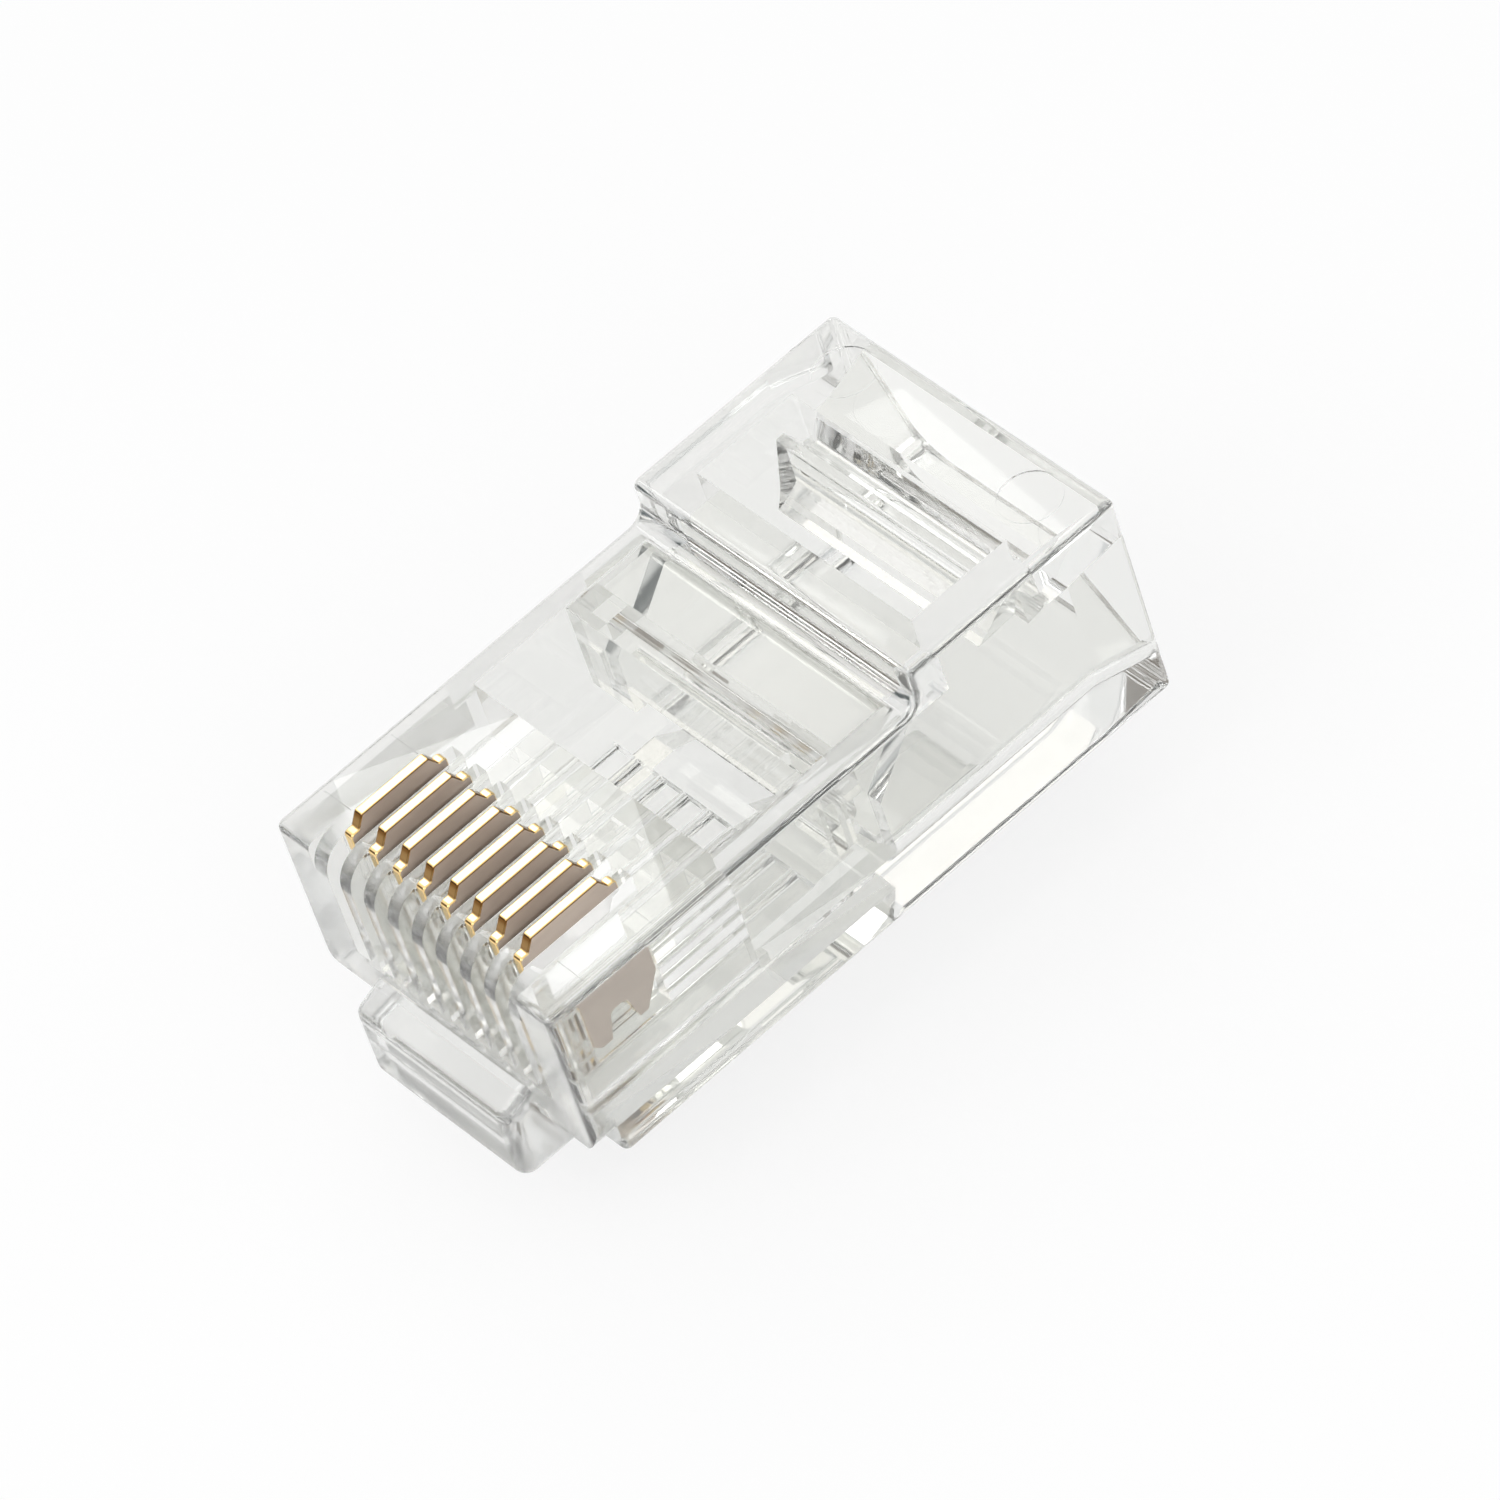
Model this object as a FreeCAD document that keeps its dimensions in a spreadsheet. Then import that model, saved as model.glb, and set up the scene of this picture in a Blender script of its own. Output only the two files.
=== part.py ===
import FreeCAD, Part
import math
import os
from types import SimpleNamespace
import Sketcher

# An eight-position modular plug in millimetres, not yet crimped. The origin is on the nose face, midway
# between the side walls and level with the underside of the side rails. +Y runs from the nose to the
# cable entry, +Z towards the contacts, and the latch hangs below.

SIZES = {
    # outside of the housing
    "plug_width": 11.68,
    "front_height": 6.43,
    "step_rise": 1.37,
    "step_fillet": 0.6,
    "edge_round": 0.25,
    "nose_bottom": 0.55,
    "nose_fillet": 0.1,
    "nose_corner": 1.1,
    "rail_front": 0.8,
    "rail_round": 0.25,
    # comb of ribs and slots at the nose
    "contact_count": 8,
    "contact_pitch": 1.02,
    "comb_round": 1.0,
    "comb_margin": 0.62,
    "guide_slot_width": 0.56,
    "guide_slot_floor": 2.3,
    "guide_slot_round": 0.3,
    "slot_tail": 0.45,
    "ledge_round": 0.2,
    # contact blades, at the height that they have before crimping
    "blade_thickness": 0.35,
    "blade_clearance": 0.05,
    "blade_front": 1.46,
    "blade_length": 2.56,
    "blade_height": 4.08,
    "blade_standing": 0.67,
    "crown_front_reach": 0.04,
    "crown_rear_inset": 0.14,
    "crown_slope": 0.26,
    "crown_round": 0.08,
    "crown_edge_round": 0.06,
    "front_shoulder": 0.59,
    "rear_shoulder": 0.38,
    "shoulder_drop": 0.42,
    "shoulder_depth": 0.7,
    "shoulder_round": 0.13,
    "front_tine_width": 0.62,
    "rear_tine_width": 0.3,
    "rear_tine_inset": 0.62,
    "tine_slope": 0.22,
    "tine_bevel": 0.24,
    "tine_round": 0.12,
    "arch_height": 0.95,
    "arch_round": 0.22,
    "heel_height": 1.1,
    "crimp_stroke": 1.0,
    # fine witness lines that the mould's insert leaves beside the contacts
    "witness_width": 0.04,
    "witness_depth": 0.03,
    "witness_inner": 1.5,
    "witness_outer": 0.35,
    "witness_front": 0.12,
    "witness_rear": 0.04,
    # wire channels and the chamber that they open into
    "channel_width": 0.9,
    "channel_floor": 1.6,
    "channel_height": 1.15,
    "channel_round": 0.2,
    "channel_top_round": 0.15,
    "channel_front": 0.8,
    "groove_depth": 0.3,
    "groove_setback": 0.5,
    "chamber_wall": 0.84,
    "slot_wall": 1.85,
    "pocket_length": 3.4,
    # clamp for the wires
    "wire_clamp_height": 3.13,
    "wire_clamp_length": 2.85,
    "wire_clamp_toe": 1.3,
    "wire_clamp_round": 0.3,
    "wire_clamp_knuckle": 0.3,
    "heel_notch_length": 0.6,
    "heel_notch_height": 1.5,
    "heel_notch_gap": 0.15,
    "wire_notch_width": 6.2,
    "wire_notch_depth": 0.8,
    "wire_notch_height": 1.0,
    "wire_notch_round": 0.2,
    "hinge_clearance": 0.06,
    # cavity for the cable
    "cavity_wall": 1.39,
    "cavity_floor": 1.0,
    "roof_thickness": 2.3,
    "cavity_corner": 1.2,
    "cheek_setback": 0.4,
    "cheek_foot_rise": 0.65,
    "cheek_length": 1.6,
    "floor_ramp_length": 1.4,
    "mouth_flare": 0.4,
    "mouth_depth": 1.9,
    # roof behind the step, with its window and the jacket clamp in it
    "step_wall": 0.76,
    "window_wall": 1.34,
    "window_length": 3.57,
    "roof_rear": 2.8,
    "jacket_clamp_gap": 0.08,
    "jacket_clamp_rise": 1.35,
    "jacket_clamp_drop": 0.3,
    "jacket_clamp_reach": 1.75,
    "jacket_clamp_toe": 0.35,
    "jacket_toe_rise": 0.4,
    "jacket_crest_front": 0.78,
    "jacket_crest_rear": 0.5,
    "jacket_crest_round": 0.1,
    "jacket_face_foot": 1.42,
    "jacket_clamp_taper": 0.6,
    "jacket_hinge_radius": 0.34,
    "jacket_hinge_rise": 0.22,
    "jacket_hinge_inset": 0.17,
    "pin_mark_radius": 0.95,
    "pin_mark_depth": 0.04,
    "pin_mark_side_inset": 1.99,
    "pin_mark_rear_inset": 1.35,
    # latch, the root that carries it and the recess that it moves in
    "latch_width": 6.0,
    "latch_thickness": 1.3,
    "latch_drop": 1.33,
    "latch_hinge_place": 1.6,
    "latch_slope": 9.5,
    "latch_round": 0.4,
    "root_reach": 1.1,
    "root_front_top": 1.35,
    "root_top_rise": 0.45,
    "root_web": 1.35,
    "root_embed": 1.6,
    "root_width": 6.7,
    "root_side_round": 0.5,
    "arm_length": 6.45,
    "finger_width": 3.25,
    "finger_length": 8.95,
    "finger_thickness": 1.05,
    "finger_end_rake": 0.15,
    "recess_side_gap": 0.6,
    "recess_height": 1.0,
    "recess_length": 3.25,
    "recess_ramp": 0.4,
}

# How far an open cut runs past the face that it leaves through.
overrun = 1
# Least volume that a cut has to take away, and how close two places are when they are the same.
nothing = 1e-6
tolerance = 1e-4


class Length:
    # A size together with the sheet expression that gives it, so that features can be bound to the sheet.
    def __init__(self, value, text):
        self.value = value
        self.text = text

    def __add__(self, other):
        other = as_length(other)
        return Length(self.value + other.value, f"({self.text} + {other.text})")

    def __sub__(self, other):
        other = as_length(other)
        return Length(self.value - other.value, f"({self.text} - {other.text})")

    def __mul__(self, other):
        other = as_length(other)
        return Length(self.value * other.value, f"({self.text} * {other.text})")

    def __truediv__(self, other):
        other = as_length(other)
        return Length(self.value / other.value, f"({self.text} / {other.text})")

    def __neg__(self):
        return Length(-self.value, f"(0 - {self.text})")

    def __radd__(self, other):
        return as_length(other) + self

    def __rsub__(self, other):
        return as_length(other) - self

    def __rmul__(self, other):
        return as_length(other) * self


def as_length(number):
    return number if isinstance(number, Length) else Length(float(number), f"{float(number):g}")


doc = FreeCAD.newDocument("modular_plug")


def make_sheet():
    sheet = doc.addObject("Spreadsheet::Sheet", "Sizes")
    for row, (name, value) in enumerate(SIZES.items(), start=1):
        sheet.set(f"A{row}", name.replace("_", " "))
        sheet.set(f"B{row}", f"{value}")
        sheet.setAlias(f"B{row}", name)
    doc.recompute()
    return SimpleNamespace(**{name: Length(float(sheet.get(name)), f"Sizes.{name}") for name in SIZES})


def add_places(s):
    # Where things are, each worked out from the sizes in front of it, below it or beside it.
    s.rear_height = s.front_height + s.step_rise
    s.blade_rear = s.blade_front + s.blade_length
    s.shoulder_front = s.blade_front - s.front_shoulder
    s.shoulder_rear = s.blade_rear + s.rear_shoulder
    s.slot_rear = s.shoulder_rear + s.slot_tail
    s.blade_top = s.front_height + s.blade_standing
    s.blade_foot = s.blade_top - s.blade_height
    s.chamber_front = s.slot_rear + s.slot_wall
    s.chamber_floor = s.channel_floor + s.groove_depth
    s.chamber_half = s.plug_width / 2 - s.chamber_wall
    s.wire_clamp_front = s.chamber_front + s.pocket_length
    s.groove_end = s.wire_clamp_front - s.groove_setback
    s.wire_clamp_foot = s.front_height - s.wire_clamp_height
    s.wire_clamp_heel = s.wire_clamp_front + s.wire_clamp_toe
    s.wire_clamp_hinge = s.wire_clamp_front + s.wire_clamp_length
    s.bridge_height = s.front_height - s.wire_clamp_knuckle * 2 - s.hinge_clearance
    s.cavity_half = s.plug_width / 2 - s.cavity_wall
    s.cavity_front = s.wire_clamp_heel + s.cheek_setback
    s.cheek_foot = s.wire_clamp_foot + s.cheek_foot_rise
    s.cavity_ceiling = s.rear_height - s.roof_thickness
    s.step_place = s.wire_clamp_hinge + s.step_wall
    s.window_front = s.step_place + s.window_wall
    s.window_rear = s.window_front + s.window_length
    s.plug_rear = s.window_rear + s.roof_rear
    s.jacket_hinge_place = s.window_rear - s.jacket_hinge_inset
    s.jacket_hinge_height = s.cavity_ceiling + s.jacket_hinge_rise
    s.jacket_clamp_top = s.cavity_ceiling + s.jacket_clamp_rise
    s.jacket_clamp_foot = s.cavity_ceiling - s.jacket_clamp_drop
    s.latch_bottom = -s.latch_drop
    s.catch_place = s.latch_hinge_place + s.arm_length
    s.finger_end = s.catch_place + s.finger_length
    s.recess_end = s.catch_place + s.recess_length
    s.first_contact = -(s.contact_pitch * (s.contact_count - 1) / 2)


def bind(item, path, length):
    item.setExpression(path, as_length(length).text)


def make_body(name):
    body = doc.addObject("PartDesign::Body", name)
    body.Label = name
    return body


def make_sketch(body, name, plane, offset=0):
    # Sketch on one of the body's own origin planes, moved along the plane's normal.
    sketch = body.newObject("Sketcher::SketchObject", name)
    support = next(item for item in body.Origin.OriginFeatures if item.Role == plane)
    sketch.AttachmentSupport = (support, [""])
    sketch.MapMode = "FlatFace"
    bind(sketch, "AttachmentOffset.Base.z", offset)
    return sketch


def unit(start, end):
    return (end - start).normalize()


def constrain(sketch, rules):
    # Add the rules in one go. A rule that ends in a Length is bound to the sheet.
    first = sketch.ConstraintCount
    constraints = []
    for rule in rules:
        value = rule[-1]
        plain = rule[:-1] + (value.value,) if isinstance(value, Length) else rule
        constraints.append(Sketcher.Constraint(*plain))
    sketch.addConstraint(constraints)
    for index, rule in enumerate(rules, start=first):
        if isinstance(rule[-1], Length):
            bind(sketch, f"Constraints[{index}]", rule[-1])


def point_rules(geometry, position, across, up):
    return [
        ("DistanceX", -1, 1, geometry, position, as_length(across)),
        ("DistanceY", -1, 1, geometry, position, as_length(up)),
    ]


def draw_outline(sketch, corners):
    # Closed outline through the corners, each (across, up) or (across, up, radius), in anticlockwise order.
    corners = [(as_length(c[0]), as_length(c[1]), as_length(c[2]) if len(c) > 2 else None) for c in corners]
    points = [FreeCAD.Vector(across.value, up.value, 0) for across, up, radius in corners]
    count = len(corners)
    arrive = []
    leave = []
    for index, (across, up, radius) in enumerate(corners):
        here = points[index]
        back = unit(here, points[index - 1])
        ahead = unit(here, points[(index + 1) % count])
        reach = radius.value / math.tan(back.getAngle(ahead) / 2) if radius else 0
        arrive.append(here + back * reach)
        leave.append(here + ahead * reach)
    lines = []
    for index in range(count):
        segment = Part.LineSegment(leave[index], arrive[(index + 1) % count])
        lines.append(sketch.addGeometry(segment, False))
    rules = []
    for index, (across, up, radius) in enumerate(corners):
        before = lines[index - 1]
        after = lines[index]
        if not radius:
            rules.append(("Coincident", before, 2, after, 1))
            rules += point_rules(after, 1, across, up)
            continue
        here = points[index]
        back = unit(here, points[index - 1])
        ahead = unit(here, points[(index + 1) % count])
        middle = (back + ahead).normalize()
        centre = here + middle * (radius.value / math.sin(back.getAngle(ahead) / 2))
        convex = back.cross(ahead).z < 0
        first, last = (arrive[index], leave[index]) if convex else (leave[index], arrive[index])
        start_angle = math.atan2(first.y - centre.y, first.x - centre.x)
        end_angle = math.atan2(last.y - centre.y, last.x - centre.x)
        circle = Part.Circle(centre, FreeCAD.Vector(0, 0, 1), radius.value)
        arc = sketch.addGeometry(Part.ArcOfCircle(circle, start_angle, end_angle), False)
        corner = sketch.addGeometry(Part.Point(here), True)
        rules.append(("Tangent", before, 2, arc, 1 if convex else 2))
        rules.append(("Tangent", after, 1, arc, 2 if convex else 1))
        rules.append(("PointOnObject", corner, 1, before))
        rules.append(("PointOnObject", corner, 1, after))
        rules += point_rules(corner, 1, across, up)
        rules.append(("Radius", arc, radius))
    constrain(sketch, rules)


def draw_circle(sketch, across, up, radius):
    centre = FreeCAD.Vector(as_length(across).value, as_length(up).value, 0)
    circle = sketch.addGeometry(Part.Circle(centre, FreeCAD.Vector(0, 0, 1), as_length(radius).value), False)
    constrain(sketch, point_rules(circle, 3, across, up) + [("Radius", circle, as_length(radius))])


def add_pad(body, name, sketch, length):
    pad = body.newObject("PartDesign::Pad", name)
    pad.Profile = sketch
    bind(pad, "Length", length)
    doc.recompute()
    return pad


def add_pocket(body, name, sketch, depth, towards_normal=False):
    # Cut against the sketch's normal, or along it. The solid must lose volume.
    before = body.Shape.Volume
    pocket = body.newObject("PartDesign::Pocket", name)
    pocket.Profile = sketch
    pocket.Reversed = towards_normal
    bind(pocket, "Length", depth)
    doc.recompute()
    if not body.Shape.Volume < before - nothing:
        raise RuntimeError(f"{name} cuts nothing")
    return pocket


def add_row(body, name, feature, count, pitch):
    # Repeat a feature along the width, from the first contact to the last.
    before = body.Shape.Volume
    row = body.newObject("PartDesign::LinearPattern", name)
    row.Originals = [feature]
    row.Direction = (next(item for item in body.Origin.OriginFeatures if item.Role == "X_Axis"), [""])
    bind(row, "Length", pitch * (count - 1))
    bind(row, "Occurrences", count)
    body.Tip = row
    doc.recompute()
    if not body.Shape.Volume < before - nothing:
        raise RuntimeError(f"{name} repeats nothing")
    return row


def add_fillet(body, name, radius, wanted):
    # Round the edges that the test picks.
    base = body.Tip
    edges = [f"Edge{index}" for index, edge in enumerate(base.Shape.Edges, start=1) if wanted(edge)]
    if not edges:
        raise RuntimeError(f"{name} finds no edge")
    fillet = body.newObject("PartDesign::Fillet", name)
    fillet.Base = (base, edges)
    bind(fillet, "Radius", radius)
    doc.recompute()
    return fillet


def across_cut(body, name, corners, width):
    # Pocket of a side profile right across, centred on the middle plane.
    sketch = make_sketch(body, name + "_profile", "YZ_Plane", width / 2)
    draw_outline(sketch, corners)
    return add_pocket(body, name, sketch, width)


def side_pad(body, name, corners, width):
    sketch = make_sketch(body, name + "_profile", "YZ_Plane", -(width / 2))
    draw_outline(sketch, corners)
    return add_pad(body, name, sketch, width)


def add_knuckle(body, across, up, radius, width):
    # Round end that turns in its seat, as wide as the piece.
    sketch = make_sketch(body, "knuckle_profile", "YZ_Plane", -(width / 2))
    draw_circle(sketch, across, up, radius)
    return add_pad(body, "knuckle", sketch, width)


def add_loft_cut(body, name, sections):
    # Cut the form that runs from the first section to the others. The solid must lose volume.
    before = body.Shape.Volume
    loft = body.newObject("PartDesign::SubtractiveLoft", name)
    loft.Profile = sections[0]
    loft.Sections = sections[1:]
    loft.Ruled = True
    doc.recompute()
    if not body.Shape.Volume < before - nothing:
        raise RuntimeError(f"{name} cuts nothing")
    return loft


def on_side(edge, half_width):
    box = edge.BoundBox
    return abs(abs(box.XMin) - half_width) < tolerance and abs(box.XMax - box.XMin) < tolerance


def latch_rise(s):
    # How far the latch falls away for each millimetre towards its tail.
    return Length(math.tan(math.radians(s.latch_slope.value)), "tan(Sizes.latch_slope * 1 deg)")


def housing_shell(s, body):
    # Outside: nose, stepped top and side rails, drawn from the side.
    side_pad(body, "outside", [
        (0, s.nose_bottom, s.edge_round),
        (s.rail_front, s.nose_bottom, s.nose_fillet),
        (s.rail_front, 0, s.rail_round),
        (s.plug_rear, 0, s.edge_round),
        (s.plug_rear, s.rear_height, s.edge_round),
        (s.step_place, s.rear_height, s.edge_round),
        (s.step_place, s.front_height, s.step_fillet),
        (0, s.front_height, s.edge_round),
    ], s.plug_width)
    half = s.plug_width / 2
    add_fillet(body, "side_rounds", s.edge_round, lambda edge: on_side(edge, half.value))
    # Lower corners of the nose, rounded in front of the rails.
    below = s.nose_bottom - overrun
    reach = s.nose_corner + overrun
    for side, name in ((-1, "left_corner"), (1, "right_corner")):
        corner = make_sketch(body, name + "_profile", "XZ_Plane", -s.rail_front)
        outline = [
            ((half - reach) * side, below),
            ((half + overrun) * side, below),
            ((half + overrun) * side, s.nose_bottom + reach),
            (half * side, s.nose_bottom + reach),
            (half * side, s.nose_bottom, s.nose_corner),
            ((half - reach) * side, s.nose_bottom),
        ]
        draw_outline(corner, outline if side > 0 else outline[::-1])
        add_pocket(body, name, corner, s.rail_front + overrun, towards_normal=True)


def housing_recess(s, body):
    start = s.root_web - s.root_reach
    across_cut(body, "recess", [
        (start, -s.recess_height),
        (s.recess_end + s.recess_ramp * 2, -s.recess_height),
        (s.recess_end, s.recess_height),
        (start, s.recess_height),
    ], s.latch_width + s.recess_side_gap * 2)


def housing_root(s, body):
    # Hook below the nose that carries the latch, with the seat for the latch's knuckle.
    knuckle = s.latch_thickness / 2
    hook_inner = s.root_web - s.root_reach
    hook_top = s.latch_bottom + s.latch_thickness
    seat_front = s.latch_hinge_place - s.hinge_clearance
    side_pad(body, "latch_root", [
        (hook_inner, s.nose_bottom + s.root_embed),
        (0, s.nose_bottom + s.root_embed),
        (0, s.root_front_top + s.root_top_rise),
        (-s.root_reach, s.root_front_top, s.latch_round),
        (-s.root_reach, s.latch_bottom, s.latch_round),
        (seat_front, s.latch_bottom),
        (seat_front, hook_top),
        (hook_inner, hook_top, s.latch_round),
    ], s.root_width)
    half = s.root_width.value / 2
    add_fillet(body, "root_rounds", s.root_side_round, lambda edge: (
        on_side(edge, half) and edge.BoundBox.YMin < -tolerance))
    seat = make_sketch(body, "latch_seat_profile", "YZ_Plane", s.root_width / 2)
    draw_circle(seat, s.latch_hinge_place, s.latch_bottom + knuckle, knuckle + s.hinge_clearance)
    add_pocket(body, "latch_seat", seat, s.root_width)


def housing_comb(s, body):
    # Rounded front of the ribs between the contacts.
    comb_width = s.contact_pitch * s.contact_count + s.comb_margin
    below = s.front_height - s.comb_round - overrun
    above = s.front_height + overrun
    across_cut(body, "comb_nose", [
        (-overrun, below),
        (0, below),
        (0, s.front_height, s.comb_round),
        (s.comb_round + overrun, s.front_height),
        (s.comb_round + overrun, above),
        (-overrun, above),
    ], comb_width)


def housing_slots(s, body):
    first = s.first_contact
    above = s.front_height + overrun
    # Open guide at the front, in which the socket's spring wires slide.
    guide = make_sketch(body, "guide_profile", "YZ_Plane", first + s.guide_slot_width / 2)
    draw_outline(guide, [
        (-overrun, s.guide_slot_floor),
        (s.shoulder_front, s.guide_slot_floor, s.guide_slot_round),
        (s.shoulder_front, above),
        (-overrun, above),
    ])
    guide_cut = add_pocket(body, "guide_slot", guide, s.guide_slot_width)
    add_row(body, "guide_slots", guide_cut, s.contact_count, s.contact_pitch)
    # Slot that holds the blade, with ledges that stop its two shoulders.
    gap = s.blade_clearance
    slot_width = s.blade_thickness + gap * 2
    ledge = s.blade_top - s.shoulder_drop - s.shoulder_depth - s.crimp_stroke - gap
    foot = s.channel_floor + s.channel_height - s.channel_top_round
    slot = make_sketch(body, "blade_slot_profile", "YZ_Plane", first + slot_width / 2)
    draw_outline(slot, [
        (s.blade_front - gap, foot),
        (s.blade_rear + gap, foot),
        (s.blade_rear + gap, ledge),
        (s.slot_rear, ledge, s.ledge_round),
        (s.slot_rear, above),
        (s.shoulder_front - gap, above),
        (s.shoulder_front - gap, ledge),
        (s.blade_front - gap, ledge),
    ])
    slot_cut = add_pocket(body, "blade_slot", slot, slot_width)
    add_row(body, "blade_slots", slot_cut, s.contact_count, s.contact_pitch)


def housing_channels(s, body):
    # Wire channels with rounded lower corners under the contacts, open to the chamber.
    first = s.first_contact
    half = s.channel_width / 2
    top = s.channel_floor + s.channel_height
    channel = make_sketch(body, "channel_profile", "XZ_Plane", -s.groove_end)
    draw_outline(channel, [
        (first - half, s.channel_floor, s.channel_round),
        (first + half, s.channel_floor, s.channel_round),
        (first + half, top, s.channel_top_round),
        (first - half, top, s.channel_top_round),
    ])
    cut = add_pocket(body, "wire_channel", channel, s.groove_end - s.channel_front, towards_normal=True)
    add_row(body, "wire_channels", cut, s.contact_count, s.contact_pitch)


def housing_chamber(s, body):
    # Chamber in which the wires fan out. Slanted cheeks beside the cable cavity end it at the rear.
    half = s.chamber_half
    bridge = s.bridge_height
    across_cut(body, "chamber", [
        (s.chamber_front, s.chamber_floor),
        (s.cavity_front, s.chamber_floor),
        (s.cavity_front, s.cheek_foot),
        (s.cavity_front + s.cheek_length, bridge),
        (s.chamber_front, bridge),
    ], half * 2)
    across_cut(body, "top_opening", [
        (s.chamber_front, bridge),
        (s.wire_clamp_hinge, bridge),
        (s.wire_clamp_hinge, s.front_height + overrun),
        (s.chamber_front, s.front_height + overrun),
    ], half * 2)
    seat = make_sketch(body, "wire_seat_profile", "YZ_Plane", half)
    knuckle = s.wire_clamp_knuckle
    draw_circle(seat, s.wire_clamp_hinge, s.front_height - knuckle, knuckle + s.hinge_clearance)
    add_pocket(body, "wire_clamp_seat", seat, half * 2)


def housing_cavity(s, body):
    # Cable cavity from the rear, with rounded lower corners, a lower throat at the front and a flared mouth.
    cavity = make_cavity_section(s, body, "cavity_section", s.plug_rear, s.cavity_ceiling)
    add_pocket(body, "cable_cavity", cavity, s.plug_rear - s.step_place, towards_normal=True)
    throat = make_cavity_section(s, body, "throat_section", s.step_place, s.bridge_height)
    add_pocket(body, "cavity_throat", throat, s.step_place - s.cavity_front, towards_normal=True)
    across_cut(body, "floor_ramp", [
        (s.cavity_front - s.floor_ramp_length, s.chamber_floor),
        (s.cavity_front, s.cavity_floor),
        (s.cavity_front, s.chamber_floor),
    ], s.cavity_half * 2 - s.cavity_corner * 2)
    mouth = [
        make_cavity_section(s, body, "mouth_inner", s.plug_rear - s.mouth_depth, s.cavity_ceiling),
        make_cavity_section(s, body, "mouth_outer", s.plug_rear, s.cavity_ceiling, s.mouth_flare),
    ]
    add_loft_cut(body, "mouth", mouth)


def make_cavity_section(s, body, name, place, ceiling, flare=0):
    half = s.cavity_half + flare
    section = make_sketch(body, name, "XZ_Plane", -place)
    draw_outline(section, [
        (-half, s.cavity_floor - flare, s.cavity_corner),
        (half, s.cavity_floor - flare, s.cavity_corner),
        (half, ceiling + flare),
        (-half, ceiling + flare),
    ])
    return section


def housing_window(s, body):
    # Window in the roof for the jacket clamp, with the seat for its knuckle at the rear.
    half = s.cavity_half
    window = make_sketch(body, "window_plan", "XY_Plane", s.rear_height)
    draw_outline(window, [
        (-half, s.window_front),
        (half, s.window_front),
        (half, s.window_rear),
        (-half, s.window_rear),
    ])
    add_pocket(body, "window", window, s.rear_height - s.cavity_ceiling + overrun)
    seat = make_sketch(body, "jacket_seat_profile", "YZ_Plane", half)
    radius = s.jacket_hinge_radius + s.hinge_clearance
    draw_circle(seat, s.jacket_hinge_place, s.jacket_hinge_height, radius)
    add_pocket(body, "jacket_seat", seat, half * 2)
    marks = make_sketch(body, "pin_marks_plan", "XY_Plane", s.rear_height)
    mark_side = s.plug_width / 2 - s.pin_mark_side_inset
    for side in (-1, 1):
        draw_circle(marks, mark_side * side, s.plug_rear - s.pin_mark_rear_inset, s.pin_mark_radius)
    add_pocket(body, "pin_marks", marks, s.pin_mark_depth)


def housing_witness(s, body):
    # Fine lines across the top on both sides of the contact row, in front and behind.
    outer = s.plug_width / 2 - s.witness_outer
    inner = s.plug_width / 2 - s.witness_inner
    lines = make_sketch(body, "witness_plan", "XY_Plane", s.front_height)
    for place in (s.blade_front + s.witness_front, s.blade_rear + s.witness_rear):
        for left, right in ((-outer, -inner), (inner, outer)):
            draw_outline(lines, [
                (left, place),
                (right, place),
                (right, place + s.witness_width),
                (left, place + s.witness_width),
            ])
    add_pocket(body, "witness_lines", lines, s.witness_depth)


def make_housing(s):
    body = make_body("housing")
    housing_shell(s, body)
    housing_recess(s, body)
    housing_root(s, body)
    housing_comb(s, body)
    housing_chamber(s, body)
    housing_cavity(s, body)
    housing_window(s, body)
    housing_channels(s, body)
    housing_slots(s, body)
    housing_witness(s, body)
    return body


def make_wire_clamp(s):
    # Bar across the chamber that is pressed down on the wires when the plug is crimped.
    body = make_body("wire_clamp")
    knuckle = s.wire_clamp_knuckle
    width = (s.chamber_half - s.hinge_clearance) * 2
    arm_foot = s.front_height - knuckle * 2
    side_pad(body, "bar", [
        (s.wire_clamp_front, s.wire_clamp_foot),
        (s.wire_clamp_heel, s.wire_clamp_foot, s.wire_clamp_round),
        (s.wire_clamp_heel, arm_foot),
        (s.wire_clamp_hinge, arm_foot),
        (s.wire_clamp_hinge, s.front_height),
        (s.wire_clamp_front, s.front_height),
    ], width)
    add_knuckle(body, s.wire_clamp_hinge, s.front_height - knuckle, knuckle, width)
    below = s.wire_clamp_foot - overrun
    notch_top = s.wire_clamp_foot + s.wire_notch_height
    notch_rear = s.wire_clamp_front + s.wire_notch_depth
    across_cut(body, "wire_notch", [
        (s.wire_clamp_front - overrun, below),
        (notch_rear, below),
        (notch_rear, notch_top, s.wire_notch_round),
        (s.wire_clamp_front - overrun, notch_top),
    ], s.wire_notch_width)
    # The heel is narrower than the rest of the bar, so that it goes down between the cheeks.
    heel_half = s.cavity_half - s.heel_notch_gap
    heel_front = s.wire_clamp_heel - s.heel_notch_length
    heel_top = s.wire_clamp_foot + s.heel_notch_height
    for place, name in ((-heel_half, "left_heel"), (width / 2, "right_heel")):
        notch = make_sketch(body, name + "_profile", "YZ_Plane", place)
        draw_outline(notch, [
            (heel_front, below),
            (s.wire_clamp_heel + overrun, below),
            (s.wire_clamp_heel + overrun, heel_top),
            (heel_front, heel_top),
        ])
        add_pocket(body, name, notch, width / 2 - heel_half)
    return body


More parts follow.
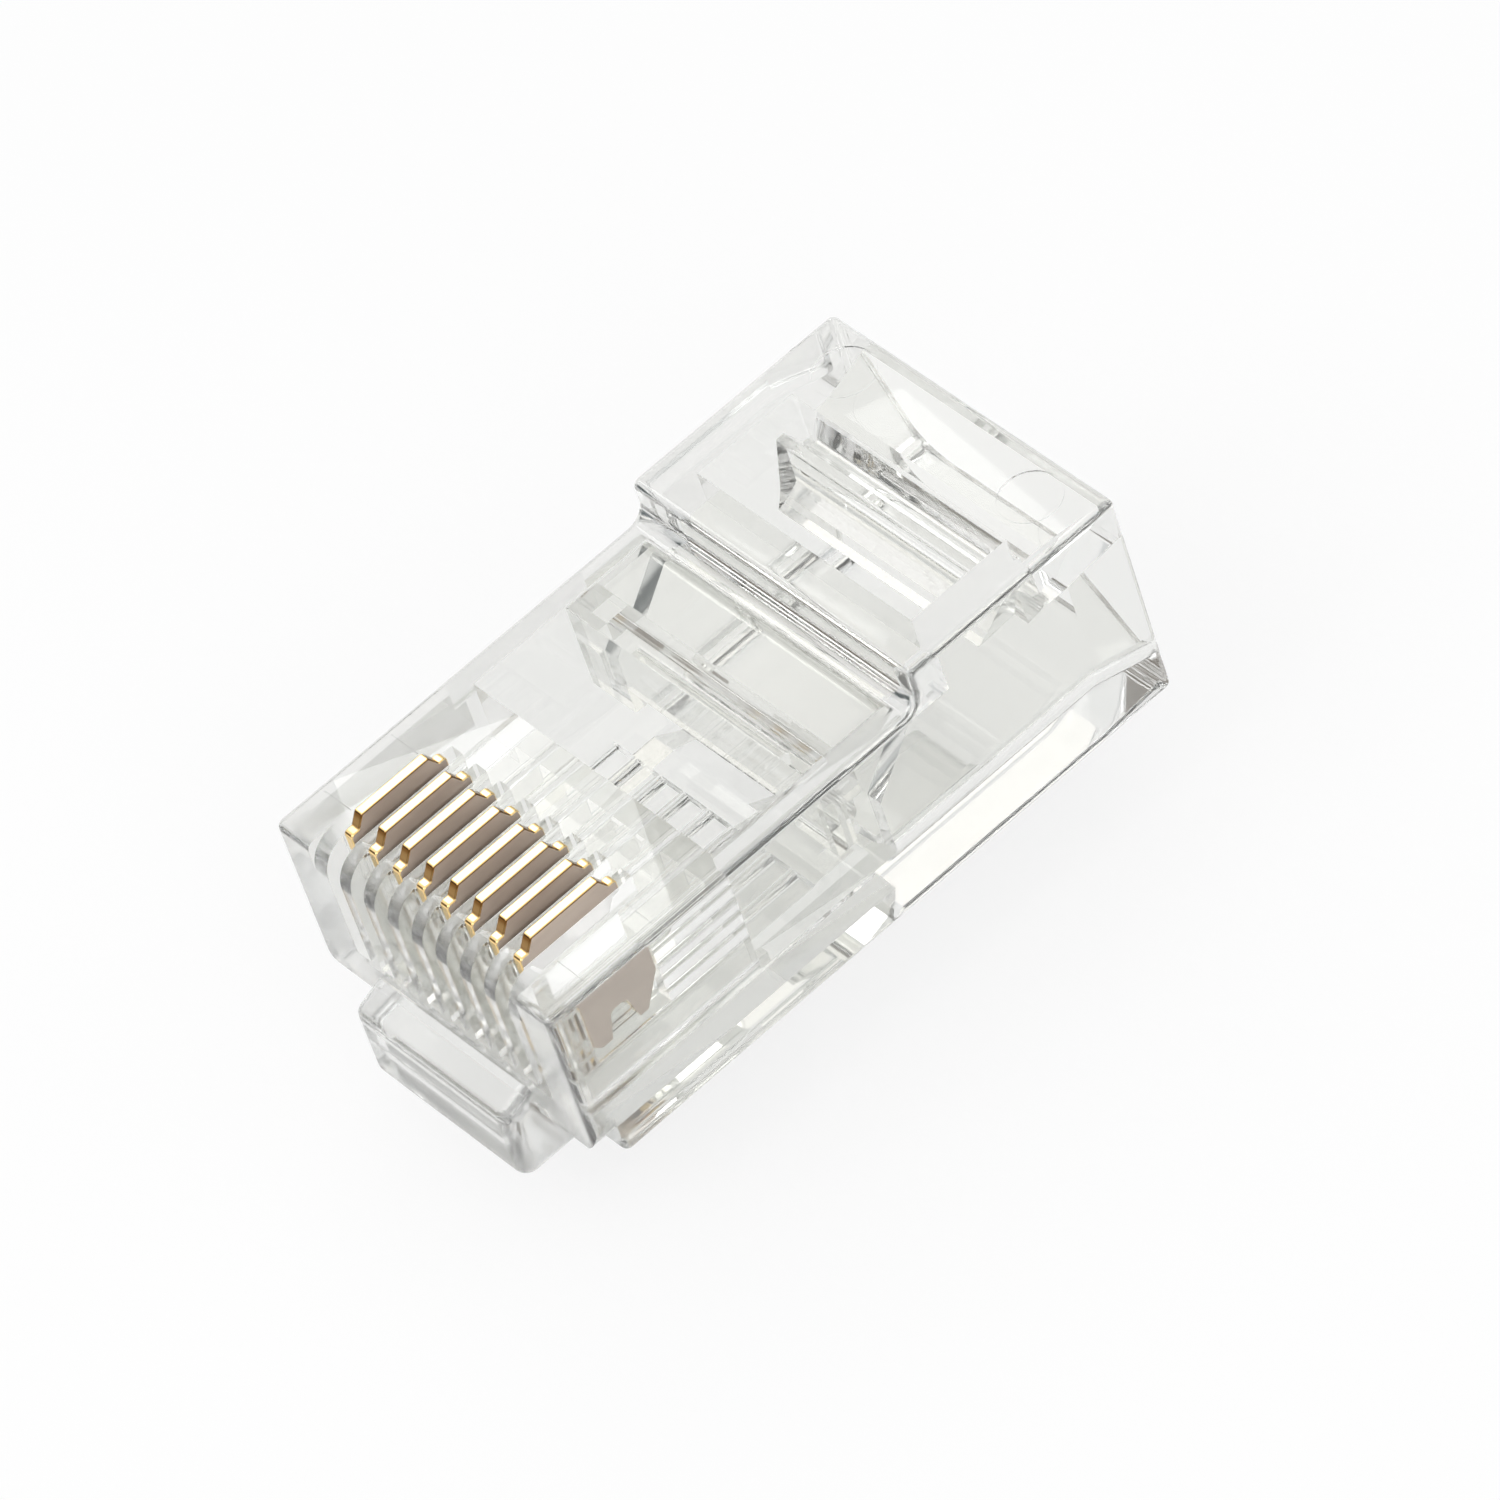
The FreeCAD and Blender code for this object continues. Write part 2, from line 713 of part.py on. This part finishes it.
def make_jacket_clamp(s):
    # Wedge in the roof window that is pressed down on the cable jacket, hinged at the foot of its rear wall.
    body = make_body("jacket_clamp")
    radius = s.jacket_hinge_radius
    hinge = s.jacket_hinge_place
    width = (s.cavity_half - s.jacket_clamp_gap) * 2
    foot = s.jacket_clamp_foot
    side_pad(body, "wedge", [
        (hinge - s.jacket_clamp_reach, foot),
        (hinge - s.jacket_clamp_reach + s.jacket_clamp_toe, foot),
        (hinge, s.jacket_hinge_height - radius),
        (hinge, s.jacket_hinge_height + radius),
        (hinge - s.jacket_crest_rear, s.jacket_clamp_top),
        (hinge - s.jacket_crest_front, s.jacket_clamp_top, s.jacket_crest_round),
        (hinge - s.jacket_face_foot, foot + s.jacket_toe_rise),
    ], width)
    add_knuckle(body, hinge, s.jacket_hinge_height, radius, width)
    taper_start = hinge - radius - s.hinge_clearance
    for side, name in ((-1, "left_taper"), (1, "right_taper")):
        taper = make_sketch(body, name + "_profile", "XZ_Plane", -taper_start)
        edge = width / 2 * side
        inner = (width / 2 - s.jacket_clamp_taper) * side
        outer = edge + overrun * side
        corners = [
            (inner, foot),
            (outer, foot),
            (outer, s.jacket_clamp_top),
            (edge, s.jacket_clamp_top),
        ]
        draw_outline(taper, corners if side > 0 else corners[::-1])
        add_pocket(body, name, taper, s.jacket_clamp_reach, towards_normal=True)
    return body


def make_latch(s):
    # Sprung lever: wide as far as the catch shoulders, then a narrow finger to press.
    body = make_body("latch_lever")
    knuckle = s.latch_thickness / 2
    rise = latch_rise(s)
    start = s.latch_hinge_place
    root = start + s.latch_thickness
    catch_fall = (s.catch_place - start) * rise
    end_fall = (s.finger_end - start) * rise
    side_pad(body, "arm", [
        (start, s.latch_bottom),
        (s.catch_place, s.latch_bottom - catch_fall),
        (s.catch_place, s.latch_bottom + s.latch_thickness - catch_fall),
        (start, s.latch_bottom + s.latch_thickness),
    ], s.latch_width)
    add_knuckle(body, start, s.latch_bottom + knuckle, knuckle, s.latch_width)
    root_fall = s.latch_thickness * rise
    side_pad(body, "finger", [
        (root, s.latch_bottom - root_fall),
        (s.finger_end, s.latch_bottom - end_fall, s.latch_round),
        (s.finger_end + s.finger_end_rake, s.latch_bottom + s.finger_thickness - end_fall, s.latch_round),
        (root, s.latch_bottom + s.finger_thickness - root_fall),
    ], s.finger_width)
    return body


def make_contact(s, number):
    # Gold-plated blade with two piercing tines, standing proud until it is crimped down.
    body = make_body(f"contact_{number}")
    top = s.blade_top
    shoulder = top - s.shoulder_drop
    under = shoulder - s.shoulder_depth
    foot = s.blade_foot
    front = s.blade_front
    rear = s.blade_rear
    arch = foot + s.arch_height
    crown_front = front - s.crown_front_reach
    crown_rear = rear - s.crown_rear_inset
    front_tine_rear = front + s.front_tine_width
    rear_tine_rear = rear - s.rear_tine_inset
    rear_tine_front = rear_tine_rear - s.rear_tine_width
    side_pad(body, "blade", [
        (front, foot + s.tine_bevel),
        (front + s.tine_bevel, foot, s.tine_round),
        (front_tine_rear, foot),
        (front_tine_rear + s.tine_slope, arch, s.arch_round),
        (rear_tine_front - s.tine_slope, arch, s.arch_round),
        (rear_tine_front, foot),
        (rear_tine_rear, foot),
        (rear, foot + s.heel_height),
        (rear, under),
        (s.shoulder_rear, under),
        (s.shoulder_rear, shoulder, s.shoulder_round),
        (crown_rear + s.crown_slope, shoulder),
        (crown_rear, top, s.crown_round),
        (crown_front, top, s.crown_round),
        (crown_front - s.crown_slope, shoulder),
        (s.shoulder_front, shoulder, s.shoulder_round),
        (s.shoulder_front, under),
        (front, under),
    ], s.blade_thickness)
    # The crown that the socket's wires wipe is coined round along both sides.
    half = s.blade_thickness.value / 2
    add_fillet(body, "crown_edges", s.crown_edge_round, lambda edge: (
        on_side(edge, half) and edge.BoundBox.ZMin > shoulder.value - s.crown_round.value
        and edge.BoundBox.YMin > s.shoulder_front.value + tolerance
        and edge.BoundBox.YMax < s.shoulder_rear.value - tolerance))
    bind(body, "Placement.Base.x", s.first_contact + s.contact_pitch * (number - 1))
    return body


def check_and_write(bodies):
    for item in doc.Objects:
        if "Invalid" in item.State or "Error" in item.State:
            raise RuntimeError(f"{item.Name} failed")
    os.makedirs("parts", exist_ok=True)
    for body in bodies:
        shape = body.Shape
        if shape.isNull() or not shape.isValid() or len(shape.Solids) != 1:
            raise RuntimeError(f"{body.Label} is not one valid solid")
        shape.exportStep(f"parts/{body.Label}.step")
        box = shape.BoundBox
        print(f"{body.Label}: {shape.Volume:.2f} mm3, x {box.XMin:.2f} {box.XMax:.2f},"
              f" y {box.YMin:.2f} {box.YMax:.2f}, z {box.ZMin:.2f} {box.ZMax:.2f}")


def main():
    s = make_sheet()
    add_places(s)
    bodies = [make_housing(s), make_wire_clamp(s), make_jacket_clamp(s), make_latch(s)]
    for number in range(1, int(s.contact_count.value) + 1):
        bodies.append(make_contact(s, number))
    doc.recompute()
    check_and_write(bodies)


main()
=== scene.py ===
import bmesh
import bpy
from mathutils import Matrix, Vector


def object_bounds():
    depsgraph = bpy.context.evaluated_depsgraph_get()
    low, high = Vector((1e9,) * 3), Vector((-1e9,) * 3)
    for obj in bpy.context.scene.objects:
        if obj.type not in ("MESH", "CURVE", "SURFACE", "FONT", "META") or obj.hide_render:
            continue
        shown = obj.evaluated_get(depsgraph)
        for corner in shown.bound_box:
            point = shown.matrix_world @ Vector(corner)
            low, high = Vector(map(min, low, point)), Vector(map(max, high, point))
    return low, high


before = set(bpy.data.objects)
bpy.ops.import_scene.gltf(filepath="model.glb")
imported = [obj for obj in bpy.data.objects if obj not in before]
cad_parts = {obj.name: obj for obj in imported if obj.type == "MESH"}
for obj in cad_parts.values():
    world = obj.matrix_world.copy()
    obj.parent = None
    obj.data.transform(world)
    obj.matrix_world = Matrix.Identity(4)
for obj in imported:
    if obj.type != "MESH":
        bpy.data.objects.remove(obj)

# A clear modular plug, seen from its nose corner on a white studio floor. Everything is in metres, in the part's
# own frame: +Y from the nose to the cable entry, +Z towards the contacts.

cadLow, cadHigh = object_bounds()
mm = 0.001
white = (1, 1, 1)


class Wire:
    # A node's output that can stand in a sum: wire * 2 + 1 adds the Math nodes.
    def __init__(self, maker, socket):
        self.maker = maker
        self.socket = socket

    def math(self, operation, *others):
        return self.maker.add("ShaderNodeMath", {"operation": operation}, (self,) + others)

    def __add__(self, other):
        return self.math("ADD", other)

    def __radd__(self, other):
        return self.math("ADD", other)

    def __sub__(self, other):
        return self.math("SUBTRACT", other)

    def __rsub__(self, other):
        return self.maker.add("ShaderNodeMath", {"operation": "SUBTRACT"}, (other, self))

    def __mul__(self, other):
        return self.math("MULTIPLY", other)

    def __rmul__(self, other):
        return self.math("MULTIPLY", other)

    def __truediv__(self, other):
        return self.math("DIVIDE", other)

    def __gt__(self, other):
        return self.math("GREATER_THAN", other)


class Maker:
    # Builds one node tree, for a material or the world.
    def __init__(self, owner):
        owner.use_nodes = True
        self.owner = owner
        self.tree = owner.node_tree
        self.tree.nodes.clear()

    def feed(self, slot, value):
        # A wire is linked, a colour gets its alpha, and anything else is set as it is.
        if isinstance(value, Wire):
            self.tree.links.new(value.socket, slot)
        elif slot.type == "RGBA":
            slot.default_value = (*value, 1)
        else:
            slot.default_value = value

    def add(self, kind, settings=None, values=(), output=0):
        # Settings come first, because some of them change the sockets. Values go by place or by name.
        node = self.tree.nodes.new(kind)
        for name, setting in (settings or {}).items():
            setattr(node, name, setting)
        pairs = values.items() if isinstance(values, dict) else enumerate(values)
        for key, value in pairs:
            self.feed(node.inputs[key], value)
        return Wire(self, node.outputs[output]) if len(node.outputs) else node

    def blend(self, factor, first, second):
        # Mix of two colours.
        return self.add("ShaderNodeMix", {"data_type": "RGBA"}, {0: factor, 6: first, 7: second}, 2)

    def ramp(self, factor, stops):
        # Colour ramp through the stops, which are pairs of a place and a colour, lowest place first.
        wire = self.add("ShaderNodeValToRGB", {}, (factor,))
        elements = wire.socket.node.color_ramp.elements
        elements[0].position = stops[0][0]
        elements[1].position = stops[-1][0]
        for place, shade in stops[1:-1]:
            elements.new(place)
        for element, (place, shade) in zip(elements, stops):
            element.color = (*shade, 1)
        return wire

    def axis(self, index, vector=None):
        # One coordinate of a vector, or of the position on the piece.
        spot = vector or self.add("ShaderNodeTexCoord", output="Object")
        return self.add("ShaderNodeSeparateXYZ", {}, (spot,), index)

    def place(self, scale=(1, 1, 1)):
        # Position on the piece, stretched along each axis.
        spot = self.add("ShaderNodeTexCoord", output="Object")
        return self.add("ShaderNodeMapping", {}, {"Vector": spot, "Scale": scale})

    def noise(self, vector, scale, detail):
        return self.add("ShaderNodeTexNoise", {}, {"Vector": vector, "Scale": scale, "Detail": detail})

    def fade(self, value, start, end, top=1.0):
        # Rises smoothly from 0 at the start to the top at the end.
        return self.add("ShaderNodeMapRange", {"interpolation_type": "SMOOTHSTEP"}, {
            "Value": value, "From Min": start, "From Max": end, "To Max": top})


def newMaterial(name):
    return Maker(bpy.data.materials.new(name))


clearPlastic = {
    "colour": (0.915, 0.918, 0.9),
    "flowColour": (0.905, 0.909, 0.889),
    "index": 1.585,
    "clearness": 0.975,
    "housingPolish": 0.012,
    "clampPolish": 0.018,
    "latchPolish": 0.16,
    "flowHaze": 0.02,
    "flowSize": 260,
    "flowStretch": (1, 0.3, 1),
    "flowDetail": 3,
    "cloudSize": 104,
    "cloudDetail": 1,
    "ripple": 0.012,
    "rippleDepth": 0.1 * mm,
    "noseHaze": 0.12,
    "noseStart": 0.5 * mm,
    "noseEnd": 2.0 * mm,
}


def makeClearPlastic(name, polish):
    # Clear polycarbonate with faint flow lines along the way that it was filled, hazier at the nose's many slots.
    maker = newMaterial(name)
    along = maker.place(clearPlastic["flowStretch"])
    flow = maker.noise(along, clearPlastic["flowSize"], clearPlastic["flowDetail"])
    cloud = maker.noise(maker.place(), clearPlastic["cloudSize"], clearPlastic["cloudDetail"])
    nose = maker.fade(maker.axis(1), clearPlastic["noseEnd"], clearPlastic["noseStart"], clearPlastic["noseHaze"])
    bump = maker.add("ShaderNodeBump", {}, {
        "Strength": clearPlastic["ripple"],
        "Distance": clearPlastic["rippleDepth"],
        "Height": flow,
    })
    shader = maker.add("ShaderNodeBsdfPrincipled", {}, {
        "Base Color": maker.blend(cloud, clearPlastic["colour"], clearPlastic["flowColour"]),
        "Roughness": flow * clearPlastic["flowHaze"] + nose + polish,
        "IOR": clearPlastic["index"],
        "Transmission Weight": clearPlastic["clearness"],
        "Normal": bump,
    })
    maker.add("ShaderNodeOutputMaterial", {}, (shader,))
    return maker.owner


contactGold = {
    "top": (1.0, 0.75, 0.38),
    "topDeep": (0.97, 0.67, 0.28),
    "topMetal": 1.0,
    "topRough": 0.1,
    "side": (0.8, 0.68, 0.58),
    "sideDeep": (0.66, 0.54, 0.46),
    "sideMetal": 0.55,
    "sideRough": 0.42,
    # Painted shade: dark brown on the slopes below the crown, standing in for the dark reflections there.
    "paintedSlopeShade": (0.2, 0.09, 0.02),
    "slopeFoot": 6.6 * mm,
    "slopeReach": 0.55 * mm,
    # Share of the painted shade on the slopes at places between the foot (0) and the end of the reach (1).
    "paintedShadeShares": [(0.18, 0), (0.23, 0.9), (0.36, 0.8), (0.6, 0.85), (0.75, 1), (0.87, 1), (0.905, 0)],
    "pitch": 1.02 * mm,
    "firstPlace": -3.57 * mm,
    "sideStart": 0.171 * mm,
    "grainSize": 3000,
    "grainStretch": (1, 0.2, 1),
    "grainDetail": 3,
    "grainRough": 0.06,
    "grainBump": 0.08,
    "grainDepth": 0.01 * mm,
    "cloudSize": 700,
    "cloudDetail": 2,
}


def makeContactGold():
    # Bright plating on the stamped edges, pinker on the sheared sides, and painted shade on the slopes below the
    # crown: dark brown bands that stand in for their dark reflections.
    maker = newMaterial("contactGold")
    steps = (maker.axis(0) - contactGold["firstPlace"]) / contactGold["pitch"]
    fromBlade = (steps - steps.math("ROUND")).math("ABSOLUTE") * contactGold["pitch"]
    side = fromBlade > contactGold["sideStart"]
    # Painted shade on the slopes: its share rises and falls with the height on the blade.
    climb = (maker.axis(2) - contactGold["slopeFoot"]) / contactGold["slopeReach"]
    paintedSlopeShade = maker.ramp(climb, [(place, (share,) * 3) for place, share in contactGold["paintedShadeShares"]])
    along = maker.place(contactGold["grainStretch"])
    grain = maker.noise(along, contactGold["grainSize"], contactGold["grainDetail"])
    cloud = maker.noise(maker.place(), contactGold["cloudSize"], contactGold["cloudDetail"])
    topTone = maker.blend(cloud, contactGold["top"], contactGold["topDeep"])
    # The painted shade is mixed over the plating tone here.
    toneWithPaintedShade = maker.blend(paintedSlopeShade, topTone, contactGold["paintedSlopeShade"])
    sideTone = maker.blend(grain, contactGold["side"], contactGold["sideDeep"])
    rough = side * (contactGold["sideRough"] - contactGold["topRough"]) + contactGold["topRough"]
    metal = side * (contactGold["sideMetal"] - contactGold["topMetal"]) + contactGold["topMetal"]
    bump = maker.add("ShaderNodeBump", {}, {
        "Strength": contactGold["grainBump"],
        "Distance": contactGold["grainDepth"],
        "Height": grain,
    })
    shader = maker.add("ShaderNodeBsdfPrincipled", {}, {
        "Base Color": maker.blend(side, toneWithPaintedShade, sideTone),
        "Metallic": metal,
        "Roughness": rough + grain * contactGold["grainRough"],
        "Normal": bump,
    })
    maker.add("ShaderNodeOutputMaterial", {}, (shader,))
    return maker.owner


studio = {
    "floorSize": 1.2,
    "floorMiddle": (0, 0.01),
    "floorTone": (0.9, 0.9, 0.9),
    "floorDeep": (0.88, 0.88, 0.885),
    "floorRough": 0.6,
    "grainSize": 40,
    "grainDetail": 2,
    "shadowShare": 0.2,
    "zenith": (1.0, 1.0, 1.0),
    "zenithStart": 0.6,
    "horizon": (0.64, 0.66, 0.67),
    "horizonEnd": 0.25,
    "worldLevel": 1.0,
    # Round patches of the sky, whose inner and outer edges are cosines of the angle from their middle.
    "patches": [
        {"toward": (-0.607, 0.311, 0.732), "inner": 0.97, "outer": 0.88, "tone": (1.28, 1.26, 1.22)},
        {"toward": (0.1, 0.8, 0.57), "inner": 0.97, "outer": 0.87, "tone": (0.52, 0.54, 0.55)},
        {"toward": (-0.62, -0.7, 0.33), "inner": 0.98, "outer": 0.93, "tone": (0.12, 0.09, 0.06)},
        {"toward": (0.03, 0.81, 0.58), "inner": 0.97, "outer": 0.93, "tone": (0.01, 0.035, 0.045)},
    ],
    "lamps": [
        {"name": "keyLamp", "size": (0.2, 0.2), "power": 0.25, "place": (-0.02, -0.22, 0.3)},
        {"name": "fillLamp", "size": (0.1, 0.1), "power": 0.06, "place": (0.2, -0.05, 0.12)},
        # Near and small: it shines back from the contacts' crowns.
        {"name": "contactCard", "size": (0.008, 0.008), "power": 0.0005, "place": (-0.0152, 0.0106, 0.0254),
         "target": (0, 0.0028, 0.0071)},
    ],
}

lightPaths = {
    "max_bounces": 32,
    "glossy_bounces": 16,
    "transmission_bounces": 32,
}

photoCamera = {
    "sensor": 36,
    "lens": 291.5,
    "nearest": 0.01,
    "farthest": 10,
    "place": (0.20152, -0.09182, 0.24566),
    "right": (0.6496, 0.7243, -0.2310),
    "up": (-0.4581, 0.6154, 0.6414),
    "back": (0.6067, -0.3108, 0.7316),
}


def rayIs(maker, kind):
    return maker.add("ShaderNodeLightPath", output=kind)


def makeFloor():
    maker = newMaterial("studioFloor")
    grain = maker.noise(maker.place(), studio["grainSize"], studio["grainDetail"])
    matt = maker.add("ShaderNodeBsdfDiffuse", {}, {
        "Color": maker.blend(grain, studio["floorTone"], studio["floorDeep"]),
        "Roughness": studio["floorRough"],
    })
    glow = maker.add("ShaderNodeEmission", {}, {"Color": white, "Strength": 1})
    # Seen straight, by reflection or through clear plastic, the floor is mostly white and keeps some shadow.
    seen = rayIs(maker, "Is Camera Ray")
    for kind in ("Is Glossy Ray", "Is Transmission Ray"):
        seen = seen.math("MAXIMUM", rayIs(maker, kind))
    surface = maker.add("ShaderNodeMixShader", {}, (seen * (1 - studio["shadowShare"]), matt, glow))
    maker.add("ShaderNodeOutputMaterial", {}, (surface,))

    mesh = bpy.data.meshes.new("studioFloor")
    shape = bmesh.new()
    bmesh.ops.create_grid(shape, x_segments=1, y_segments=1, size=studio["floorSize"] / 2)
    bmesh.ops.translate(shape, verts=shape.verts, vec=(*studio["floorMiddle"], cadLow.z))
    shape.to_mesh(mesh)
    shape.free()
    mesh.materials.append(maker.owner)
    floor = bpy.data.objects.new("studioFloor", mesh)
    bpy.context.scene.collection.objects.link(floor)


def makeWorld():
    # White overhead and greyer towards the horizon, with a bright patch and dark ones for facets and gold to reflect.
    maker = Maker(bpy.data.worlds.new("studioWorld"))
    direction = maker.add("ShaderNodeTexCoord", output="Generated")
    tone = maker.ramp(maker.axis(2, direction), [
        (0, studio["horizon"]),
        (studio["horizonEnd"], studio["horizon"]),
        (studio["zenithStart"], studio["zenith"]),
        (1, studio["zenith"]),
    ])
    for patch in studio["patches"]:
        toward = Vector(patch["toward"]).normalized()
        near = maker.add("ShaderNodeVectorMath", {"operation": "DOT_PRODUCT"}, (direction, toward), "Value")
        tone = maker.blend(maker.fade(near, patch["outer"], patch["inner"]), tone, patch["tone"])
    tone = maker.blend(rayIs(maker, "Is Camera Ray"), tone, white)
    background = maker.add("ShaderNodeBackground", {}, {"Color": tone, "Strength": studio["worldLevel"]})
    maker.add("ShaderNodeOutputWorld", {}, (background,))
    bpy.context.scene.world = maker.owner


def makeLamp(lamp):
    light = bpy.data.lights.new(lamp["name"], "AREA")
    light.shape = "RECTANGLE"
    light.size, light.size_y = lamp["size"]
    light.energy = lamp["power"]
    holder = bpy.data.objects.new(lamp["name"], light)
    place = Vector(lamp["place"])
    target = Vector(lamp.get("target", (cadLow + cadHigh) / 2))
    holder.location = place
    holder.rotation_mode = "QUATERNION"
    holder.rotation_quaternion = (target - place).to_track_quat("-Z", "Y")
    holder.visible_camera = False
    bpy.context.scene.collection.objects.link(holder)


def setLightPaths():
    # Light runs a long way inside clear plastic before it comes out.
    for name, count in lightPaths.items():
        setattr(bpy.context.scene.cycles, name, count)


def makeCamera():
    data = bpy.data.cameras.new("camera")
    data.sensor_width = photoCamera["sensor"]
    data.lens = photoCamera["lens"]
    data.clip_start = photoCamera["nearest"]
    data.clip_end = photoCamera["farthest"]
    camera = bpy.data.objects.new("camera", data)
    turn = Matrix([photoCamera[axis] for axis in ("right", "up", "back")]).transposed()
    camera.rotation_mode = "QUATERNION"
    camera.rotation_quaternion = turn.to_quaternion()
    camera.location = photoCamera["place"]
    bpy.context.scene.collection.objects.link(camera)
    bpy.context.scene.camera = camera


def dress(node, material):
    # Give a CAD node its material.
    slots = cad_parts[node].data.materials
    if not slots:
        slots.append(material)
    for index in range(len(slots)):
        slots[index] = material


def dressNodes():
    clampPlastic = makeClearPlastic("clearClamps", clearPlastic["clampPolish"])
    gold = makeContactGold()
    materials = {
        "housing": makeClearPlastic("clearHousing", clearPlastic["housingPolish"]),
        "latch_lever": makeClearPlastic("clearLatch", clearPlastic["latchPolish"]),
    }
    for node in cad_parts:
        dress(node, gold if node.startswith("contact") else materials.get(node, clampPlastic))
    print("nodes dressed:", len(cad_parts))


makeCamera()
print("camera set")
makeFloor()
makeWorld()
for lamp in studio["lamps"]:
    makeLamp(lamp)
setLightPaths()
print("studio lit")
dressNodes()

bpy.context.scene.view_settings.view_transform = "Standard"
